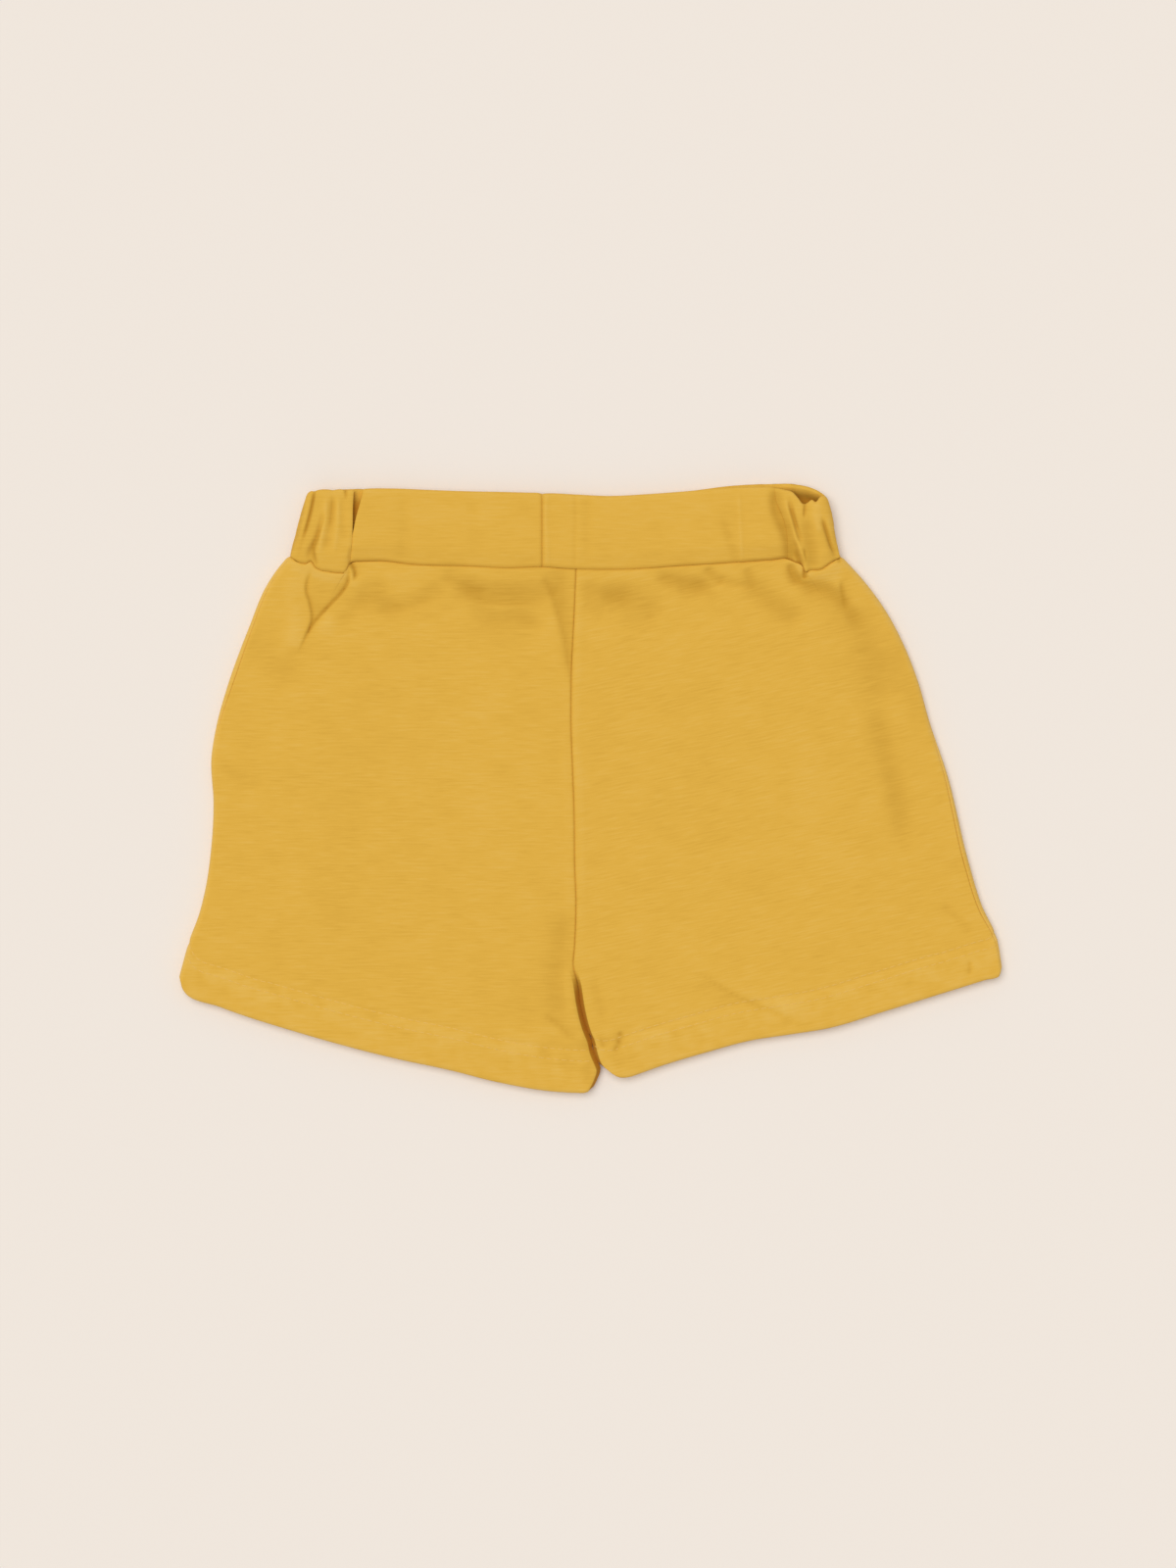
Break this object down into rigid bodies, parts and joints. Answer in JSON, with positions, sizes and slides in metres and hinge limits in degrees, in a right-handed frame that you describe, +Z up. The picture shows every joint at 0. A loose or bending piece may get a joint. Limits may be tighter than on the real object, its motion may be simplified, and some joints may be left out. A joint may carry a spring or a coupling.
{
  "type": "baby shorts",
  "caption": "Baby shorts in slub sweatshirt knit, laid flat with the front up, with a flat front waistband and an elasticated back",
  "frame": {"origin": "on the surface that the shorts lie on, under the centre of their outline", "axes": "+Z up from the surface, +Y towards the waistband, +X to the right as seen from above, so the shorts' front faces +Z"},
  "size_m": [0.324, 0.2395, 0.0091],
  "materials": {
    "slub_knit": "matt mustard slub cotton knit, with short uneven streaks across each leg",
    "waistband_knit": "the same matt mustard slub knit in two plies, gathered over elastic at the back and sides"
  },
  "bodies": {
    "root": {"front_panel_left": "slub_knit", "front_panel_right": "slub_knit", "back_panel_left": "slub_knit", "back_panel_right": "slub_knit", "waistband_front_left": "waistband_knit", "waistband_front_right": "waistband_knit", "waistband_back": "waistband_knit"}
  },
  "joints": []
}
